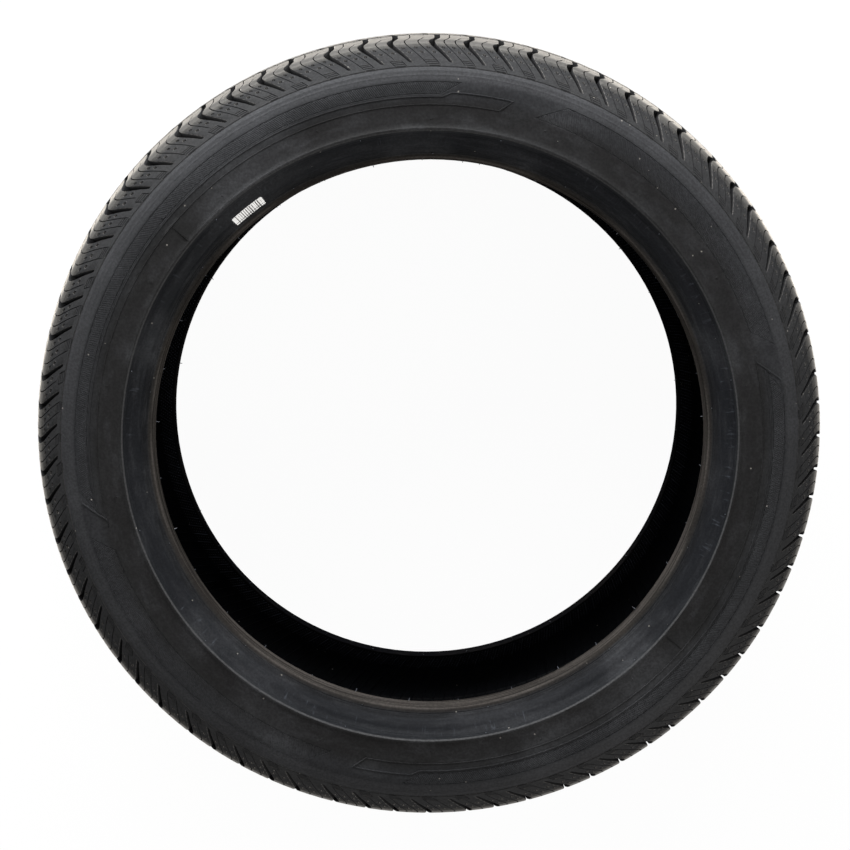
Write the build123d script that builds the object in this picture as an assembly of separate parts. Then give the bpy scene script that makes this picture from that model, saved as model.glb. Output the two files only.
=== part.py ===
from build123d import *
import math
import os

# A 245/45 R19 passenger car tyre, lying on its side.
# The axle line is +Z, the outer sidewall faces up, and z = 0 is the lowest rib of the inner sidewall.
# All sizes are in millimetres. The section is drawn about the tyre's mid plane and lifted at the end.

# Overall sizes
overall_diameter = 703.0
section_width = 245.0

# Fit on the rim
rim_diameter = 482.6
bead_squeeze = 1.0  # the bead's bore is this much under the rim seat's radius
bead_spread = 203.0  # from heel to heel, an 8 inch rim
bead_land = 12.0
heel_radius = 5.0
toe_chamfer = 2.0

# Tread band
crown_radius = 450.0
tread_width = 176.0  # between the places where the shoulders start to round
shoulder_radius = 16.0
flank_angle = 45.0  # of the shoulder wall, from the tread
shoulder_edge_diameter = 638.0
shoulder_step = 1.0  # the tread blocks end this far above the sidewall
tread_depth = 8.0
groove_width = 10.0
groove_draft = 1.5
inner_groove_place = 19.0  # from the mid plane to the middle of the groove
outer_groove_place = 53.0

# Shoulder slots, one in each pitch of the tread
pitch_lengths = {"s": 26.0, "m": 30.5, "l": 37.0}
pitch_order = "mslmsmlsmlsm"
pitch_rounds = 6
slot_width = 5.0
slot_foot_width = 3.0
slot_depth = 7.0
slot_foot_depth = 1.2
slot_foot_margin = 6.0  # from the slot's blind end to the shoulder's edge, along the axle
slot_lean = 16.0  # how far the foot is turned round the tyre

# Sidewall
protector_height = 1.5
protector_diameter = 533.0  # the middle of the rim protector's crest
protector_crest = 3.0
protector_ramp = 4.0
bulge_diameter = 602.0  # where the sidewall becomes flat
bulge_bow = 1.3  # swell of the sidewall between the shoulder and there
trim_ring_diameter = 588.0
trim_ring_width = 2.6
trim_ring_height = 0.8
flange_top_diameter = 511.0  # the outer end of the cone that the rim flange faces
flange_cone = 12.6  # its length along the slope
flange_angle = 47.5  # its slope from the wheel's plane
flange_hollow = 1.6  # bow of the hollow under the rim protector
bead_face_angle = 22.0  # of the short face between that cone and the heel

# Wall thickness
under_tread = 9.0
sidewall_thickness = 9.0
liner_crown_width = 150.0
liner_shoulder_diameter = 608.0
liner_shoulder_bow = 5.2
liner_waist_diameter = 568.0
liner_waist_bow = 1.2
apex_diameter = 516.0
apex_depth = 24.0  # from the sidewall to the liner at the top of the bead
apex_bow = 2.2

# Paper label on the flange cone
label_length = 31.5
label_width = 10.2
label_thickness = 0.2
label_corner = 1.2
label_margin = 1.2  # from the outer end of the cone
label_place = 128.2  # degrees round from +X

half_width = section_width / 2
crown_r = overall_diameter / 2
sidewall_z = half_width - protector_height


def at(radius, z):
    """A point of the section, which is drawn in the XZ plane."""
    return Vector(radius, 0, z)


def tread_r(z):
    """Radius of the tread surface at a distance from the mid plane."""
    return crown_r - crown_radius + math.sqrt(crown_radius**2 - z**2)


def bowed(start, end, bow):
    """An arc between two points of the section that swells to the left of its chord by bow."""
    chord = end - start
    left = Vector(-chord.Z, 0, chord.X).normalized()
    return ThreePointArc(start, (start + end) * 0.5 + left * bow, end)


def tread_arc(z_from, z_to):
    """A stretch of the tread surface."""
    z_mid = (z_from + z_to) / 2
    return ThreePointArc(at(tread_r(z_from), z_from), at(tread_r(z_mid), z_mid), at(tread_r(z_to), z_to))


def groove(z_mid):
    """One groove that runs round the tread, with sides that open outwards."""
    near = z_mid - groove_width / 2
    far = z_mid + groove_width / 2
    floor_r = tread_r(z_mid) - tread_depth
    return Polyline(
        at(tread_r(near), near),
        at(floor_r, near + groove_draft),
        at(floor_r, far - groove_draft),
        at(tread_r(far), far),
    )


# Tread and shoulder, as points (radius, z)
turn_start = math.asin(tread_width / 2 / crown_radius)
turn_end = math.radians(flank_angle)
tread_edge = at(tread_r(tread_width / 2), tread_width / 2)
turn_centre = tread_edge - at(math.cos(turn_start), math.sin(turn_start)) * shoulder_radius


def shoulder_point(angle):
    """A point of the rounded shoulder, by the angle of its normal from the wheel's plane."""
    return turn_centre + at(math.cos(angle), math.sin(angle)) * shoulder_radius


flank_start = shoulder_point(turn_end)
shoulder_edge_r = shoulder_edge_diameter / 2
flank_drop = flank_start.X - shoulder_edge_r
flank_end = at(shoulder_edge_r, flank_start.Z + flank_drop / math.tan(turn_end))
step_foot = flank_end - at(math.cos(turn_end), math.sin(turn_end)) * shoulder_step

# Sidewall, from the shoulder to the bead
bulge_end = at(bulge_diameter / 2, sidewall_z)
ring_outer_r = trim_ring_diameter / 2 + trim_ring_width / 2
ring_inner_r = trim_ring_diameter / 2 - trim_ring_width / 2
ring_z = sidewall_z + trim_ring_height
crest_outer = at(protector_diameter / 2 + protector_crest / 2, half_width)
crest_inner = at(protector_diameter / 2 - protector_crest / 2, half_width)
ramp_foot = at(crest_outer.X + protector_ramp, sidewall_z)

# Bead
bore_r = rim_diameter / 2 - bead_squeeze
heel_z = bead_spread / 2
land_outer = at(bore_r, heel_z - heel_radius)
land_inner = at(bore_r, land_outer.Z - bead_land)
heel_top = at(bore_r + heel_radius, heel_z)
heel_middle = at(bore_r + heel_radius * (1 - math.sqrt(0.5)), heel_z - heel_radius * (1 - math.sqrt(0.5)))
toe_end = at(bore_r + toe_chamfer, land_inner.Z - toe_chamfer)
cone_slope = at(math.cos(math.radians(flange_angle)), math.sin(math.radians(flange_angle)))
cone_foot_r = flange_top_diameter / 2 - flange_cone * cone_slope.X
cone_foot = at(cone_foot_r, heel_z + (cone_foot_r - heel_top.X) * math.tan(math.radians(bead_face_angle)))
cone_top = cone_foot + cone_slope * flange_cone

# Inner liner
liner_crown_r = crown_r - tread_depth - under_tread
liner_radius = crown_radius - tread_depth - under_tread


def liner_r(z):
    """Radius of the liner under the tread."""
    return liner_crown_r - liner_radius + math.sqrt(liner_radius**2 - z**2)


liner_edge = at(liner_r(liner_crown_width / 2), liner_crown_width / 2)
liner_shoulder = at(liner_shoulder_diameter / 2, sidewall_z - sidewall_thickness - shoulder_step)
liner_waist = at(liner_waist_diameter / 2, sidewall_z - sidewall_thickness)
apex_top = at(apex_diameter / 2, sidewall_z - apex_depth)

inner_groove_near = inner_groove_place - groove_width / 2
inner_groove_far = inner_groove_place + groove_width / 2
outer_groove_near = outer_groove_place - groove_width / 2
outer_groove_far = outer_groove_place + groove_width / 2

half_outline = [
    tread_arc(0, inner_groove_near),
    groove(inner_groove_place),
    tread_arc(inner_groove_far, outer_groove_near),
    groove(outer_groove_place),
    tread_arc(outer_groove_far, tread_width / 2),
    ThreePointArc(tread_edge, shoulder_point((turn_start + turn_end) / 2), flank_start),
    Polyline(flank_start, flank_end, step_foot),
    bowed(step_foot, bulge_end, -bulge_bow),
    Polyline(
        bulge_end,
        at(ring_outer_r, sidewall_z),
        at(ring_outer_r - trim_ring_height, ring_z),
        at(ring_inner_r + trim_ring_height, ring_z),
        at(ring_inner_r, sidewall_z),
        ramp_foot,
        crest_outer,
        crest_inner,
    ),
    bowed(crest_inner, cone_top, flange_hollow),
    Polyline(cone_top, cone_foot, heel_top),
    ThreePointArc(heel_top, heel_middle, land_outer),
    Polyline(land_outer, land_inner, toe_end, apex_top),
    bowed(apex_top, liner_waist, apex_bow),
    bowed(liner_waist, liner_shoulder, liner_waist_bow),
    bowed(liner_shoulder, liner_edge, liner_shoulder_bow),
    ThreePointArc(liner_edge, at(liner_r(liner_edge.Z / 2), liner_edge.Z / 2), at(liner_crown_r, 0)),
]


def shoulder_slot():
    """The space of one shoulder slot at +X: from the outer groove across the shoulder to a blind foot."""
    outside_r = crown_r + tread_depth
    mouth_z = outer_groove_far - groove_draft
    foot_z = flank_end.Z - slot_foot_margin
    foot_r = flank_end.X + slot_foot_margin * math.tan(turn_end) - slot_foot_depth
    stations = [
        (mouth_z, tread_r(mouth_z) - slot_depth, slot_width, 0.0),
        (tread_edge.Z, tread_edge.X - slot_depth, slot_width, 0.0),
        (foot_z, foot_r, slot_foot_width, -slot_lean),
    ]
    sections = []
    for z, floor_r, width, turned in stations:
        corners = [
            (floor_r, turned - width / 2, z),
            (outside_r, turned - width / 2, z),
            (outside_r, turned + width / 2, z),
            (floor_r, turned + width / 2, z),
        ]
        sections.append(Face(Wire.make_polygon([Vector(*corner) for corner in corners])))
    return loft(sections, ruled=True)


def slot_angles():
    """Where each pitch of the tread starts, in degrees. Uneven pitches keep a tyre quiet."""
    order = pitch_order * pitch_rounds
    total = sum(pitch_lengths[letter] for letter in order)
    angles = []
    run = 0.0
    for letter in order:
        angles.append(360 * run / total)
        run += pitch_lengths[letter]
    return angles


def make_tyre():
    """The whole moulded tyre: a ring of one section with slots cut in both shoulders."""
    half = Curve() + half_outline
    outline = half + mirror(half, about=Plane.XY)
    ring = revolve(make_face(outline.edges()), axis=Axis.Z)
    upper_slot = shoulder_slot()
    lower_slot = Rot(X=180) * upper_slot
    slots = [Rot(Z=angle) * slot for angle in slot_angles() for slot in (upper_slot, lower_slot)]
    return Pos(0, 0, half_width) * (ring - slots)


def make_label():
    """A paper label stuck flat on the flange cone."""
    outward = Vector(-cone_slope.Z, 0, cone_slope.X) * label_thickness
    top = cone_top - cone_slope * label_margin
    foot = top - cone_slope * label_width
    strip = Face(Wire.make_polygon([foot, top, top + outward, foot + outward]))
    turn = math.degrees(label_length / ((top.X + foot.X) / 2))
    label = revolve(strip, axis=Axis.Z, revolution_arc=turn)
    corners = [edge for edge in label.edges() if edge.length < 2 * label_thickness]
    label = fillet(corners, label_corner)
    return Pos(0, 0, half_width) * (Rot(Z=label_place - turn / 2) * label)


os.makedirs("parts", exist_ok=True)
export_step(make_tyre(), "parts/tyre.step")
export_step(make_label(), "parts/stock_label.step")
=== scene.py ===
# %% [markdown]
# # A car tyre, dressed around its CAD frame
# The tyre is one moulded body of rubber that lies on its side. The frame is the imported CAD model: it
# fixes the size and the place, and everything below is modelled around it in the same metres. The plan:
# draw the tyre's section as a few outlines, cut each outline into flat cells with their grooves and ribs,
# and let Geometry Nodes lay the cells in a row and roll the row round the axle.

# %% Load the frame
import math

import bpy
import numpy as np
from mathutils import Matrix, Vector
from mathutils.geometry import delaunay_2d_cdt


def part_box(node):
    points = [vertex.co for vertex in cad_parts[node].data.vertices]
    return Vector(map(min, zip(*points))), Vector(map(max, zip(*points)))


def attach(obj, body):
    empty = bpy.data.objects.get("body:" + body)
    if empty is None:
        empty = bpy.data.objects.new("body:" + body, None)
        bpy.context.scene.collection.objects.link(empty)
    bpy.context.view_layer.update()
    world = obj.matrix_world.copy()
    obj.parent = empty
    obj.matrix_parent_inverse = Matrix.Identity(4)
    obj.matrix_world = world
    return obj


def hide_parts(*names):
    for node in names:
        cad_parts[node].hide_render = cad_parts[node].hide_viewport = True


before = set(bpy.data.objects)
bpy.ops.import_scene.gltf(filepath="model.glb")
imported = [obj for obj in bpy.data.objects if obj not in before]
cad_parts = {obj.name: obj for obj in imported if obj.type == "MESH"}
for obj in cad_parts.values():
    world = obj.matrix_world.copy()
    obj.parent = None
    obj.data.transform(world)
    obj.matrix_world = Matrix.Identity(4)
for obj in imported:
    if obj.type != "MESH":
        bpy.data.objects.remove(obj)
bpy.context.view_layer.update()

MM = 0.001
tyre_low, tyre_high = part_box("tyre")
mid_plane = (tyre_low.z + tyre_high.z) / 2
print("tyre box in metres:", [round(v, 4) for v in tyre_high - tyre_low])

# %% [markdown]
# ## The section
# A tyre's shape is a section turned round the axle. These are the same driving sizes as in the CAD model,
# in millimetres: radius from the axle, and z from the mid plane between the two sidewalls. A point of the
# section is a 2D vector (radius, z). Arcs are worked out from their ends and their bow, because a mould
# maker's drawing gives them that way, and it keeps the list of numbers short.

# %% Driving sizes and arcs of the section
crown_r = 351.5
crown_radius = 450.0
half_width = 122.5
tread_edge_z = 88.0
shoulder_radius = 16.0
flank_angle = math.radians(45)
shoulder_edge_r = 319.0
shoulder_step = 0.6
tread_depth = 8.0
groove_width = 10.0
groove_draft = 1.5
inner_groove_z = 19.0
outer_groove_z = 53.0


def tread_r(z):
    """Radius of the tread surface."""
    return crown_r - crown_radius + np.sqrt(crown_radius**2 - z**2)


def tread_point(z):
    """A point of the tread surface in the section."""
    return Vector((tread_r(z), z))


def arc(start, end, bow, steps):
    """Points after start along an arc of the section that swells to the left of its chord by bow."""
    start, end = Vector(start), Vector(end)
    chord = end - start
    left = Vector((-chord.y, chord.x)).normalized()
    radius = (chord.length_squared / 4 + bow**2) / (2 * bow)
    centre = (start + end) / 2 + left * (bow - radius)
    turn = 2 * math.asin(chord.length / 2 / radius)
    points = []
    for i in range(1, steps + 1):
        spin = Matrix.Rotation(-turn * i / steps, 2)
        points.append(centre + spin @ (start - centre))
    return points


def run_lengths(section):
    """Distance along a closed section to each of its points, and back to the first."""
    lengths = [0.0]
    for here, there in zip(section, section[1:] + section[:1]):
        lengths.append(lengths[-1] + (there - here).length)
    return lengths


turn_start = math.asin(tread_edge_z / crown_radius)
tread_normal = Vector((math.cos(turn_start), math.sin(turn_start)))
turn_centre = tread_point(tread_edge_z) - shoulder_radius * tread_normal
flank_normal = Vector((math.cos(flank_angle), math.sin(flank_angle)))
flank_start = turn_centre + shoulder_radius * flank_normal
flank_end = flank_start + (flank_start.x - shoulder_edge_r) * Vector((-1, 1 / math.tan(flank_angle)))
step_foot = flank_end - shoulder_step * flank_normal
print("shoulder wall runs from", flank_start[:], "to", flank_end[:])

# %% [markdown]
# ## Flat cells
# A tread pattern repeats once in each pitch, so one flat cell of it is enough. The cell is a rectangle: c
# runs round the tyre and s runs along the section. Every crease of the pattern is a line in that
# rectangle, and Blender's constrained Delaunay function fills it with triangles that respect the lines.
# Then each vertex moves to its depth by a rule, so walls stay crisp with few faces. A boolean with
# hundreds of cutters would be slow and leave slivers. The section is closed, so each rolled cell row
# becomes a closed ring. Each vertex also keeps a mark for the finish to use: how deep it lies in a cut,
# or -1 on a wall. Thin cuts are marked up to 3, so that a face with only one deep corner still counts as
# cut.

# %% Cell maker
def crease_rows(section, width):
    """The cell's frame: a line across it at each point of the section, and its two sides."""
    lengths = run_lengths(section)
    rows = [[(0.0, s), (width, s)] for s in lengths]
    return rows + [[(0.0, 0.0), (0.0, lengths[-1])], [(width, 0.0), (width, lengths[-1])]]


def section_normals(section):
    """Outward normal at each point of a closed section that runs anticlockwise."""
    normals = []
    for before, here, after in zip(section[-1:] + section[:-1], section, section[1:] + section[:1]):
        along = (here - before).normalized() + (after - here).normalized()
        normals.append(Vector((along.y, -along.x)).normalized())
    return normals


def make_cell(name, width, section, creases, shape):
    """A mesh with x round the tyre, y the radius and z from the mid plane, in metres."""
    corners, edges = [], []
    for path in crease_rows(section, width) + creases:
        first = len(corners)
        corners += [Vector(point) for point in path]
        edges += [(first + i, first + i + 1) for i in range(len(path) - 1)]
    flat, _, faces, *_ = delaunay_2d_cdt(corners, edges, [], 0, 1e-4, False)
    c, s = np.array([vertex[:] for vertex in flat]).T
    lengths = run_lengths(section)
    r, z = (np.interp(s, lengths, [p[axis] for p in section + section[:1]]) for axis in (0, 1))
    normals = section_normals(section)
    normal = [np.interp(s, lengths, [n[axis] for n in normals + normals[:1]]) for axis in (0, 1)]
    c, r, z, cut = shape(c, s, r, z, normal)
    mesh = bpy.data.meshes.new(name)
    mesh.from_pydata(np.stack([c, r, z], 1) * MM, [], [face[::-1] for face in faces])
    mesh.attributes.new("cut", "FLOAT", "POINT").data.foreach_set("value", cut)
    return bpy.data.objects.new(name, mesh)


def cell_collection(name, cells):
    """A collection that holds the cells for Geometry Nodes, outside the scene."""
    held = bpy.data.collections.new(name)
    for cell in cells:
        held.objects.link(cell)
    print(name, [(cell.name, len(cell.data.polygons)) for cell in cells])
    return held


# %% [markdown]
# ## Rolling the cells
# This Geometry Nodes tree is the heart of the tyre. It takes a row of points, one where each cell starts,
# puts the right cell on each point, makes the copies real, and rolls the flat row into a ring: the
# distance along x becomes an angle, and y becomes the radius. Facing -1 turns the ring over about the X
# axis, which makes the lower shoulder from the upper one's cells. Edges sharper than the crease angle
# stay hard, so block edges catch the light. Faces marked as a cut or as a wall take their own finish.

# %% Node helpers and the rolling tree
def add(tree, kind, sockets=None, **settings):
    """A node with its settings, whose sockets are linked or set."""
    made = tree.nodes.new(kind)
    for key, value in settings.items():
        setattr(made, key, value)
    for key, value in (sockets or {}).items():
        if isinstance(value, bpy.types.NodeSocket):
            tree.links.new(value, made.inputs[key])
        else:
            made.inputs[key].default_value = value
    return made


def calc(tree, operation, first, second=0.0):
    """The result of a math node."""
    return add(tree, "ShaderNodeMath", {0: first, 1: second}, operation=operation).outputs[0]


def new_group(name, kind, inputs, outputs):
    """A node group with named sockets; returns it with its input sockets."""
    group = bpy.data.node_groups.new(name, kind)
    for direction, sockets in (("INPUT", inputs), ("OUTPUT", outputs)):
        for socket, holds in sockets.items():
            group.interface.new_socket(socket, in_out=direction, socket_type="NodeSocket" + holds)
    return group, group.nodes.new("NodeGroupInput").outputs


def shade_ring(tree, ring, given):
    """Smooth faces, with hard edges where the ring bends more than the crease angle."""
    smooth = add(tree, "GeometryNodeSetShadeSmooth", {0: ring, 2: True}, domain="FACE").outputs[0]
    bend = add(tree, "GeometryNodeInputMeshEdgeAngle").outputs[0]
    sharp = calc(tree, "GREATER_THAN", bend, given["Crease angle"])
    sockets = {0: smooth, 1: sharp, 2: False}
    return add(tree, "GeometryNodeSetShadeSmooth", sockets, domain="EDGE").outputs[0]


def finish_ring(tree, ring, given):
    """Three finishes, by the mark that each face carries."""
    real = add(tree, "GeometryNodeRealizeInstances", {0: ring}).outputs[0]
    named = add(tree, "GeometryNodeInputNamedAttribute", {"Name": "cut"}, data_type="FLOAT")
    mark = named.outputs["Attribute"]
    choices = {
        "Finish": True,
        "Cut finish": calc(tree, "GREATER_THAN", mark, 0.22),
        "Wall finish": calc(tree, "LESS_THAN", mark, -0.3),
    }
    for name, chosen in choices.items():
        sockets = {"Geometry": real, "Selection": chosen, "Material": given[name]}
        real = add(tree, "GeometryNodeSetMaterial", sockets).outputs[0]
    return real


def make_roll_tree():
    """Cells on points, rolled round the axle and welded."""
    inputs = {"Cell starts": "Geometry", "Cells": "Collection"}
    inputs |= dict.fromkeys(("Turn", "Facing", "Mid plane", "Weld", "Crease angle"), "Float")
    inputs |= dict.fromkeys(("Finish", "Cut finish", "Wall finish"), "Material")
    tree, given = new_group("roll_round_axle", "GeometryNodeTree", inputs, {"Ring": "Geometry"})
    choices = {"Collection": given["Cells"], "Separate Children": True, "Reset Children": True}
    cells = add(tree, "GeometryNodeCollectionInfo", choices)
    kind = add(tree, "GeometryNodeInputNamedAttribute", {"Name": "kind"}, data_type="INT")
    laid = add(tree, "GeometryNodeInstanceOnPoints", {
        "Points": given["Cell starts"],
        "Instance": cells.outputs[0],
        "Pick Instance": True,
        "Instance Index": kind.outputs["Attribute"],
    })
    sheet = add(tree, "GeometryNodeRealizeInstances", {0: laid.outputs[0]})
    flat = add(tree, "ShaderNodeSeparateXYZ", {0: add(tree, "GeometryNodeInputPosition").outputs[0]}).outputs
    clockwise = calc(tree, "MULTIPLY", flat[0], given["Turn"])
    angle = calc(tree, "MULTIPLY", calc(tree, "MULTIPLY", clockwise, -1.0), given["Facing"])
    rolled = add(tree, "ShaderNodeCombineXYZ", {
        0: calc(tree, "MULTIPLY", flat[1], calc(tree, "COSINE", angle)),
        1: calc(tree, "MULTIPLY", flat[1], calc(tree, "SINE", angle)),
        2: calc(tree, "ADD", calc(tree, "MULTIPLY", flat[2], given["Facing"]), given["Mid plane"]),
    })
    sockets = {"Geometry": sheet.outputs[0], "Position": rolled.outputs[0]}
    ring = add(tree, "GeometryNodeSetPosition", sockets).outputs[0]
    sockets = {"Geometry": ring, "Distance": given["Weld"]}
    welded = add(tree, "GeometryNodeMergeByDistance", sockets).outputs[0]
    add(tree, "NodeGroupOutput", {0: finish_ring(tree, shade_ring(tree, welded, given), given)})
    return tree


roll_tree = make_roll_tree()
print("rolling tree has", len(roll_tree.nodes), "nodes")

# %% [markdown]
# ## From a tree to a plain mesh
# A modifier's inputs are set by socket identifier, because two sockets may share a name. The evaluated
# result is then copied to a plain mesh and the modifier goes, so the piece that rides on the frame holds
# nothing live. Each piece stands for the CAD node of the whole tyre.

# %% Piece makers
def run_tree(holder, tree, values):
    """The plain mesh that a Geometry Nodes tree makes on an object."""
    bpy.context.scene.collection.objects.link(holder)
    modifier = holder.modifiers.new("tree", "NODES")
    modifier.node_group = tree
    for socket in tree.interface.items_tree:
        if socket.in_out == "INPUT" and socket.name in values:
            modifier[socket.identifier] = values[socket.name]
    depsgraph = bpy.context.evaluated_depsgraph_get()
    mesh = bpy.data.meshes.new_from_object(holder.evaluated_get(depsgraph), depsgraph=depsgraph)
    bpy.data.objects.remove(holder)
    return mesh


def rubber_piece(name, mesh):
    """A finished piece of the tyre, riding on the frame in place of the CAD node."""
    mesh.name = name
    piece = bpy.data.objects.new(name, mesh)
    bpy.context.scene.collection.objects.link(piece)
    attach(piece, "root")
    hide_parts("tyre")
    print(name, len(mesh.polygons), "faces")


def roll(name, starts, kinds, cells, reach, finishes, facing=1.0):
    """Rolls cells into one ring. starts are millimetres round a pitch circle of that reach."""
    points = bpy.data.meshes.new(name + "_starts")
    points.from_pydata([(start * MM, 0, 0) for start in starts], [], [])
    kind = points.attributes.new("kind", "INT", "POINT")
    kind.data.foreach_set("value", kinds)
    mesh = run_tree(bpy.data.objects.new(name + "_starts", points), roll_tree, {
        "Cells": cells,
        "Turn": 2 * math.pi / (reach * MM),
        "Facing": facing,
        "Mid plane": mid_plane,
        "Weld": 0.004 * MM,
        "Crease angle": math.radians(33),
        "Finish": finishes[0],
        "Cut finish": finishes[1],
        "Wall finish": finishes[-1],
    })
    rubber_piece(name, mesh)


# %% [markdown]
# ## Where things are on the tyre
# Every finish below changes with the place on the tyre: the bead is not the tread. This shader group
# turns Object coordinates into the radius and the height in millimetres and the way round as an angle, so
# that a material can say where a tone starts in the same numbers as the section. It also gives three
# vectors for noise: one stretches marks round the tyre, one like spokes, and one draws fine hoops.

# %% Place group and mask helper
def ramp(tree, value, low, high):
    """A mask that rises smoothly from 0 at low to 1 at high."""
    sockets = {"Value": value, "From Min": low, "From Max": high}
    return add(tree, "ShaderNodeMapRange", sockets, interpolation_type="SMOOTHSTEP").outputs[0]


def make_place_group():
    """Object coordinates as radius, height and angle."""
    outputs = dict.fromkeys(("Radius", "Height", "Angle"), "Float")
    outputs |= dict.fromkeys(("Round", "Spokes", "Hoops"), "Vector")
    group, _ = new_group("place_on_tyre", "ShaderNodeTree", {}, outputs)
    here = add(group, "ShaderNodeTexCoord").outputs["Object"]
    x, y, z = add(group, "ShaderNodeSeparateXYZ", {0: here}).outputs
    square = calc(group, "ADD", calc(group, "MULTIPLY", x, x), calc(group, "MULTIPLY", y, y))
    radius = calc(group, "DIVIDE", calc(group, "SQRT", square), MM)
    height = calc(group, "DIVIDE", calc(group, "SUBTRACT", z, mid_plane), MM)
    angle = calc(group, "ARCTAN2", y, x)
    across = calc(group, "ADD", calc(group, "MULTIPLY", radius, 0.012), calc(group, "MULTIPLY", height, 0.03))
    thread = calc(group, "MULTIPLY", calc(group, "SUBTRACT", radius, height), 0.35)
    ways = []
    for third in (across, calc(group, "MULTIPLY", radius, 0.0008), thread):
        sockets = {0: calc(group, "COSINE", angle), 1: calc(group, "SINE", angle), 2: third}
        ways.append(add(group, "ShaderNodeCombineXYZ", sockets).outputs[0])
    add(group, "NodeGroupOutput", {0: radius, 1: height, 2: angle, 3: ways[0], 4: ways[1], 5: ways[2]})
    return group


place_group = make_place_group()
print("place group puts out", [s.name for s in place_group.interface.items_tree])

# %% [markdown]
# ## Rubber
# Moulded rubber is never one black: it has a fine grain from the mould, cloudy patches where wax blooms
# to the surface, streaks round the tyre from handling, and specks of dust. One group makes these from
# noise and hands each finish a colour, a roughness and a height. The finish gives it a base colour and
# amounts.

# %% Rubber group
def noise(tree, scale, detail=3.0, roughness=0.55, vector=None):
    """A noise texture on Object coordinates, or on a vector."""
    where = vector or add(tree, "ShaderNodeTexCoord").outputs["Object"]
    sockets = {"Vector": where, "Scale": scale, "Detail": detail, "Roughness": roughness}
    return add(tree, "ShaderNodeTexNoise", sockets).outputs["Fac"]


def mix_colour(tree, factor, first, second):
    """Two colours mixed by a factor."""
    return add(tree, "ShaderNodeMix", {0: factor, 6: first, 7: second}, data_type="RGBA").outputs[2]


def make_rubber_group():
    """Cloudy wax bloom, streaks round the tyre, dust specks and mould grain."""
    inputs = {"Rubber": "Color", "Bloom": "Color"}
    inputs |= dict.fromkeys(("Bloom amount", "Streaks", "Specks", "Matt"), "Float")
    outputs = {"Color": "Color", "Roughness": "Float", "Height": "Float"}
    group, given = new_group("moulded_rubber", "ShaderNodeTree", inputs, outputs)
    around = add(group, "ShaderNodeGroup", node_tree=place_group).outputs["Round"]
    clouds = ramp(group, noise(group, 9.0), 0.46, 0.72)
    fine = noise(group, 160.0, 2.0)
    streak = ramp(group, noise(group, 7.0, 6.0, 0.7, around), 0.45, 0.75)
    cover = calc(group, "MULTIPLY", clouds, given["Bloom amount"])
    cover = calc(group, "ADD", cover, calc(group, "MULTIPLY", streak, given["Streaks"]))
    cover = calc(group, "MULTIPLY", cover, calc(group, "ADD", fine, 0.5))
    colour = mix_colour(group, cover, given["Rubber"], given["Bloom"])
    mottle = calc(group, "MULTIPLY", ramp(group, noise(group, 520.0, 2.0), 0.35, 0.65), 0.3)
    colour = mix_colour(group, mottle, colour, (0.002, 0.002, 0.002, 1))
    where = add(group, "ShaderNodeTexCoord").outputs["Object"]
    cells = add(group, "ShaderNodeTexVoronoi", {"Vector": where, "Scale": 130.0}).outputs
    spot = calc(group, "LESS_THAN", cells["Distance"], 0.09)
    chance = add(group, "ShaderNodeSeparateColor", {0: cells["Color"]}).outputs[0]
    chosen = calc(group, "GREATER_THAN", chance, 0.86)
    dust = calc(group, "MULTIPLY", calc(group, "MULTIPLY", spot, chosen), given["Specks"])
    colour = mix_colour(group, dust, colour, (0.30, 0.28, 0.25, 1))
    roughness = calc(group, "ADD", given["Matt"], calc(group, "MULTIPLY", cover, 0.3))
    grain = calc(group, "MULTIPLY", noise(group, 1400.0, 2.0), 0.6)
    grain = calc(group, "ADD", grain, calc(group, "MULTIPLY", fine, 0.5))
    add(group, "NodeGroupOutput", {0: colour, 1: roughness, 2: grain})
    return group


rubber_group = make_rubber_group()
print("rubber group has", len(rubber_group.nodes), "nodes")

# %% [markdown]
# ## Starting a finish
# Every rubber finish starts the same way: a material with its Principled shader and the place group, then
# the rubber group feeds colour, roughness and a fine bump into the shader. What is the same all over a
# surface, such as its specular level, is set on the shader itself.

# %% Finish maker
def start_finish(name):
    """A material with its Principled shader and the place group's outputs."""
    material = bpy.data.materials.new(name)
    material.use_nodes = True
    tree = material.node_tree
    place = add(tree, "ShaderNodeGroup", node_tree=place_group).outputs
    return material, tree, tree.nodes["Principled BSDF"], place


def rubber_finish(tree, shader, colour, bloom, amounts, specular, matt=0.47):
    """Feeds the rubber group into a shader. amounts are of bloom, streaks, specks and grain."""
    values = dict(zip(("Bloom amount", "Streaks", "Specks"), amounts))
    values |= {"Rubber": colour, "Bloom": bloom, "Matt": matt}
    rubber = add(tree, "ShaderNodeGroup", values, node_tree=rubber_group).outputs
    relief = {"Height": rubber["Height"], "Strength": amounts[3], "Distance": 0.15 * MM}
    bump = add(tree, "ShaderNodeBump", relief).outputs[0]
    tree.links.new(rubber["Color"], shader.inputs["Base Color"])
    tree.links.new(rubber["Roughness"], shader.inputs["Roughness"])
    tree.links.new(bump, shader.inputs["Normal"])
    shader.inputs["Specular IOR Level"].default_value = specular


# %% [markdown]
# ## The tread's finish
# Fresh tread rubber is matt and slightly dusty. Seen along its surface it goes pale and warm, as cloth
# does, so the shader has a warm sheen. The running surface is browner than the shoulder wall, which
# carries painted sheen as a paler band just below the corner. The cuts are painted black as shade,
# blacker where they are deep.

# %% Tread finish
def make_tread_finish():
    """Matt dusty rubber with a warm sheen, for the running surface."""
    material, tree, shader, _ = start_finish("tread_rubber")
    brown_black, dust = (0.024, 0.0234, 0.0225, 1), (0.060, 0.0565, 0.052, 1)
    rubber_finish(tree, shader, brown_black, dust, (0.3, 0.25, 0.4, 0.35), 0.3)
    shader.inputs["Specular Tint"].default_value = (1.0, 0.93, 0.84, 1)
    shader.inputs["Sheen Weight"].default_value = 0.42
    shader.inputs["Sheen Roughness"].default_value = 0.3
    shader.inputs["Sheen Tint"].default_value = (1.0, 0.90, 0.77, 1)
    return material


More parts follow.
